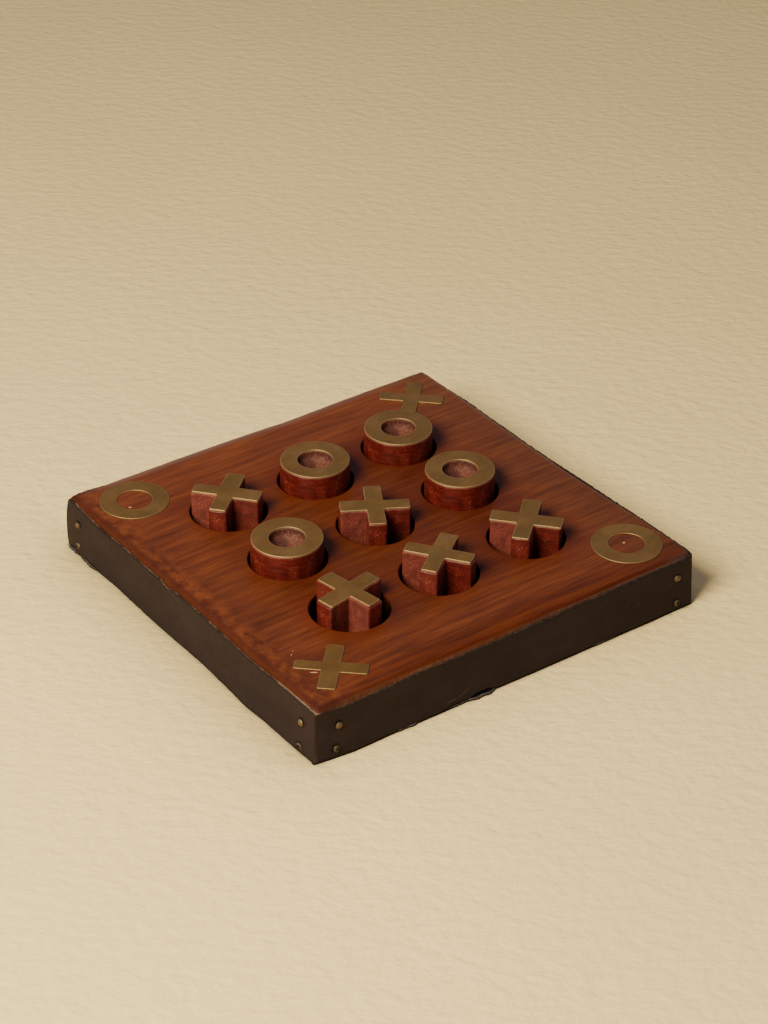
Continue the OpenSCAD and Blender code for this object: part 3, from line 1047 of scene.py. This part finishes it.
    for speck_x, speck_y, half_length, half_width, turn in SPECKS:
        speck = wood.spot((speck_x, speck_y, WOOD_TOP), (half_length, half_width, 5), (0, 0, turn))
        colour = wood.blend(speck, colour, (0.42, 0.22, 0.14))
    # Painted shade: the walls of the holes darken below their mouths
    painted_hole_shade = wood.times(wood.between(out, 75, 72), wood.between(z, WOOD_TOP - 0.5, WOOD_TOP - 2.5, 0, 0.85))
    colour = wood.blend(painted_hole_shade, colour, (0.018, 0.0050, 0.0025))
    rough = wood.between(streaks, 0.3, 0.7, 0.38, 0.52)
    normal = wood.height((streaks, 0.10), (lines, 0.03), (wood.noise((14, 9, 9), 2), 0.10))
    return wood.shade(Base_Color=colour, Roughness=rough, Normal=normal,
                      Specular_IOR_Level=wood.between(from_side, 0.2, 2.5, 0.05, 0.18),
                      Specular_Tint=(1.0, 0.84, 0.62))


def piece_wood():
    """Deep red stained wood of the playing pieces: fine grain, paler fuzz where it was sawn and
    in the rough bowls, and a satin varnish on the turned sides."""
    wood = Finish("piece_wood")
    own = wood.mark("own_place", "Vector")
    streaks = wood.noise((7, 7, 1.1), place=own)
    mottle = wood.noise((5, 5, 6), place=own)
    fuzz = wood.noise((0.45, 0.45, 0.7), 3, 0.7, place=own)
    flecks = wood.noise((0.5, 0.5, 0.9), 2, 0.6, place=own)
    stain = wood.ramp(
        wood.plus(wood.times(mottle, 0.6), (streaks, 0.4)), (0.34, (0.039, 0.0028, 0.0018)),
        (0.50, (0.075, 0.0056, 0.0032)), (0.66, (0.112, 0.0112, 0.0066)),
    )
    sawn = wood.mark("sawn")
    bowl = wood.mark("bowl")
    pale = wood.times(wood.between(fuzz, 0.3, 0.7, 0.4, 1.0), wood.between(mottle, 0.36, 0.62, 0.4, 0.85))
    fibres = wood.times(wood.between(fuzz, 0.38, 0.64), wood.between(mottle, 0.38, 0.60, 0.25, 0.9))
    worn = wood.ramp(fibres, (0.05, (0.042, 0.0070, 0.0036)), (0.85, (0.146, 0.0420, 0.0175)))
    flecks = wood.times(wood.between(flecks, 0.58, 0.70), wood.between(mottle, 0.41, 0.61, 0.10, 0.62))
    colour = wood.layered(
        stain,
        (wood.times(pale, sawn), (0.185, 0.040, 0.022)),
        (bowl, worn),
        (flecks, (0.275, 0.0970, 0.0640)),
    )
    rough_wood = wood.sum("MAXIMUM", sawn, bowl)
    rough = wood.between(rough_wood, 0.0, 1.0, 0.36, 0.68)
    fuzz_depth = wood.times(fuzz, wood.between(rough_wood, 0, 1, 0.12, 1.0))
    normal = wood.height((streaks, 0.05), (fuzz_depth, 0.28))
    return wood.shade(Base_Color=colour, Roughness=rough, Normal=normal, Specular_IOR_Level=0.35)


def plate_brass():
    """Aged brass: brown patina with faint brushing and small spots, brighter along the worn edges,
    which a painted highlight makes paler still, with a dark line of glue and painted shade round
    the plates that are let in."""
    brass = Finish("plate_brass")
    clouds = brass.noise((11, 11, 11))
    brushing = brass.noise((9, 0.3, 2), 2, 0.6, turn=25)
    edge = brass.mark("edge")
    glue_and_shade = brass.between(edge, 1.3, 1.7)
    patina = brass.ramp(
        clouds, (0.30, (0.335, 0.176, 0.046)), (0.52, (0.405, 0.218, 0.058)), (0.72, (0.47, 0.262, 0.078)),
    )
    colour = brass.layered(
        patina,
        (brass.between(brass.noise((7, 7, 7), 3, 0.6), 0.48, 0.68, 0.0, 0.5), (0.315, 0.215, 0.068)),
        (brass.between(brass.noise((0.8, 0.8, 0.8), 2, 0.6), 0.66, 0.76, 0, 0.4), (0.14, 0.080, 0.03)),
        # The edges are paler as worn brass and as a painted highlight; the glue line is dark as glue and as
        # painted shade
        (brass.times(edge, 0.5), (0.61, 0.44, 0.25)),
        (glue_and_shade, (0.030, 0.010, 0.005)),
    )
    rough = brass.sum("MAXIMUM", brass.between(brushing, 0.25, 0.75, 0.44, 0.54),
                      brass.between(edge, 0.0, 0.5, 0.0, 0.58))
    normal = brass.height((brushing, 0.012), (clouds, 0.05))
    return brass.shade(Base_Color=colour, Metallic=brass.between(glue_and_shade, 0.0, 1.0, 1.0, 0.0),
                       Roughness=rough, Normal=normal)


def pin_brass():
    """Brass of the pins, dull and darker where the mark each head carries is strong: tarnish, and painted
    shade round each head's rim.
    """
    brass = Finish("pin_brass")
    clouds = brass.noise((1.2, 1.2, 1.2), 3, 0.6)
    dull = brass.between(brass.sum("ADD", clouds, brass.mark("tarnish_and_shade")), 0.45, 1.5)
    return brass.shade(
        Base_Color=brass.blend(dull, (0.145, 0.098, 0.060), (0.012, 0.009, 0.006)), Metallic=0.85,
        Roughness=brass.between(dull, 0, 1, 0.56, 0.70), Normal=brass.height((clouds, 0.08)),
    )


def strip_leather():
    """Dark brown leather with a fine grain, faint scuffs, pale lines on two creases that are painted
    highlights, upright corners that are paler with wear and a painted highlight, and dull raw edges
    where it was cut, which show most near the front left corner. Painted shade darkens each
    strip's foot and dims the cut edge on the right side."""
    leather = Finish("strip_leather")
    x, y = leather.axes()[:2]
    clouds = leather.noise((17, 17, 9), 3, 0.55)
    fine = leather.noise((0.6, 0.6, 0.5), 3, 0.6)
    grain = leather.node("TexVoronoi", {
        "Vector": leather.sized((0.9, 0.9, 0.8)), "Scale": 1.0, "Randomness": 1.0,
    }, feature="DISTANCE_TO_EDGE").outputs["Distance"]
    corner = leather.sum("MINIMUM", leather.sum("ABSOLUTE", x), leather.sum("ABSOLUTE", y))
    # Paler along the upright corners: partly wear, partly a painted highlight where the corner edges catch
    # the light
    pale_near_corner = leather.times(leather.between(corner, WOOD_HALF + 0.5, WOOD_HALF + 1.7),
                           leather.between(clouds, 0.35, 0.6, 0.2, 0.55))
    dyed = leather.ramp(
        clouds, (0.30, (0.0137, 0.0078, 0.0081)), (0.55, (0.0165, 0.0097, 0.0103)),
        (0.75, (0.0198, 0.0120, 0.0127)),
    )
    colour = leather.layered(
        dyed,
        (leather.between(leather.noise((9, 9, 1.4), 4, 0.7), 0.62, 0.80, 0, 0.35), (0.042, 0.027, 0.019)),
        (pale_near_corner, (0.050, 0.035, 0.030)),
    )
    # Scuffs, and painted highlights along two creases
    for along, height, half_length, half_width, turn in SCUFFS_AND_CREASE_HIGHLIGHTS:
        pale_mark = leather.spot((along, -WOOD_HALF, height), (half_length, 6, half_width), (0, turn, 0))
        colour = leather.blend(leather.times(pale_mark, 0.5), colour, (0.052, 0.038, 0.030))

    # The cut upper edge, with gaps in its pale line, plainer to the right along the front, and dimmed
    # as painted shade on the right side
    on_left = leather.times(leather.between(x, -93.0, -94.0), leather.between(y, -95.5, -94.5))
    near_left = leather.times(leather.between(leather.sum("ADD", x, y), -150, -178), on_left)
    fresh = leather.plus(leather.noise((3, 3, 3), 3, 0.7), (on_left, 0.10), (near_left, 0.18))
    cut = leather.ramp(
        fresh, (0.38, (0.036, 0.0170, 0.0120)), (0.55, (0.068, 0.0330, 0.0240)),
        (0.80, (0.160, 0.1000, 0.0740)),
    )
    gaps = leather.between(leather.noise((8, 8, 8), 3, 0.6), 0.40, 0.52, 0.25, 1.0)
    shown = leather.times(gaps, leather.between(on_left, 0.0, 1.0, 0.5, 1.0))
    along_front = leather.times(x, leather.between(y, -90, -94))
    raw = leather.mark("raw")
    shown = leather.times(
        leather.sum("MAXIMUM", shown, near_left), leather.between(along_front, 35, 60, 1.0, 0.5),
        leather.between(x, 90, 94, 1.0, 0.15), leather.between(raw, 0.5, 1.0),
    )
    # Painted shade: the foot darkened almost to black, and without gloss, where it meets the lining and
    # floor
    foot = leather.mark("foot")
    colour = leather.layered(
        colour,
        (leather.between(raw, 0.0, 0.5), (0.0130, 0.0085, 0.0055)),
        (shown, cut),
        (foot, (0.003, 0.002, 0.0015)),
    )
    rough = leather.between(fine, 0.3, 0.7, 0.52, 0.70)
    normal = leather.height((leather.between(grain, 0.0, 0.25), 0.04), (fine, 0.05), (clouds, 0.12))
    return leather.shade(Base_Color=colour, Roughness=rough, Normal=normal,
                         Specular_IOR_Level=leather.between(foot, 0, 1, 0.11, 0.0))


def lining_leather():
    """The lining: dark fibre board, darkened as painted shade except along its upper arris, whose fuzzy,
    greyer line is a painted highlight.
    """
    lining = Finish("lining_leather")
    fibres = lining.noise((1.4, 1.4, 0.3), 4, 0.7)
    cut = lining.ramp(
        fibres, (0.32, (0.035, 0.0240, 0.0210)), (0.55, (0.090, 0.0680, 0.0620)),
        (0.75, (0.170, 0.1350, 0.1250)),
    )
    colour = lining.layered(
        cut,
        (lining.between(lining.noise((11, 11, 4)), 0.35, 0.7, 0, 0.5), (0.013, 0.0085, 0.0070)),
        # Painted shade: all but the upper arris darkened, so the arris stays pale as a painted highlight
        (lining.between(lining.mark("arris"), 0.9, 0.1), (0.008, 0.0055, 0.0050)),
    )
    return lining.shade(Base_Color=colour, Roughness=0.85, Normal=lining.height((fibres, 0.25)),
                        Specular_IOR_Level=0.2)


# Floor and light

def add_floor():
    """A plain pale floor with a faint, hand-trowelled surface, and painted shade close to the board."""
    mesh = bpy.data.meshes.new("floor")
    corners = [(-FLOOR_REACH, -FLOOR_REACH, 0), (FLOOR_REACH, -FLOOR_REACH, 0),
               (FLOOR_REACH, FLOOR_REACH, 0), (-FLOOR_REACH, FLOOR_REACH, 0)]
    mesh.from_pydata(corners, [], [(0, 1, 2, 3)])
    finish = Finish("floor_plaster")
    x, y = finish.axes()[:2]
    trowel = finish.noise((7, 5, 5), 3, 0.55, -36)
    plaster = finish.ramp(
        finish.noise((160, 160, 160), 2), (0.3, (0.80, 0.605, 0.258)), (0.7, (0.83, 0.630, 0.270)),
    )
    # Painted shade: darker where the board stands near, most along its left and front sides, and a painted
    # contact shadow right at its foot
    shaded = finish.sum("MAXIMUM", finish.between(x, -88, -94, 0, 0.92),
                        finish.between(y, -88, -94, 0, 0.4))
    colour = finish.layered(
        plaster,
        (finish.times(shaded, finish.sum("SUBTRACT", 1.0, finish.openness(60))), (0, 0, 0)),
        (finish.between(finish.openness(2.2), 1.0, 0.3, 0.0, 0.6), (0.16, 0.14, 0.12)),
    )
    mesh.materials.append(finish.shade(
        Base_Color=colour, Roughness=0.9, Normal=finish.height((trowel, 1.1)), Specular_IOR_Level=0.1,
    ))
    floor = bpy.data.objects.new("floor", mesh)
    bpy.context.scene.collection.objects.link(floor)


def add_light(name, place, size, power, colour):
    """A square soft light that faces the board."""
    data = bpy.data.lights.new(name, "AREA")
    data.size = size
    data.energy = power
    data.color = colour
    light = bpy.data.objects.new(name, data)
    light.location = place
    light.rotation_euler = (-Vector(place)).to_track_quat("-Z", "Y").to_euler()
    bpy.context.scene.collection.objects.link(light)


def add_world(colour, strength):
    """Even light from all round."""
    world = bpy.data.worlds.new("studio")
    world.use_nodes = True
    background = world.node_tree.nodes["Background"]
    background.inputs["Color"].default_value = (*colour, 1)
    background.inputs["Strength"].default_value = strength
    bpy.context.scene.world = world


add_camera()
add_floor()
add_world(colour=(0.74, 0.73, 1.0), strength=0.335)
add_light("key", place=(-0.78, -0.233, 0.762), size=0.51, power=29.3, colour=(1.0, 0.915, 0.70))

add_block(board_wood())
add_strips(strip_leather())
add_lining(lining_leather())
add_pins(pin_brass())
plates = plate_brass()
turned_wood = piece_wood()
for corner, shape in (
    ("front_left", "cross"), ("back_right", "cross"), ("back_left", "ring"), ("front_right", "ring"),
):
    add_plate(f"{corner}_brass_{shape}", f"{corner}_{shape}_inlay", plates, "board_body")
for shape, count, add_wood in (("cross", 5, add_wooden_cross), ("ring", 4, add_wooden_ring)):
    for number in range(1, count + 1):
        add_wood(number, turned_wood)
        add_plate(f"{shape}_{number}_plate", f"{shape}_{number}_brass", plates, f"{shape}_{number}")
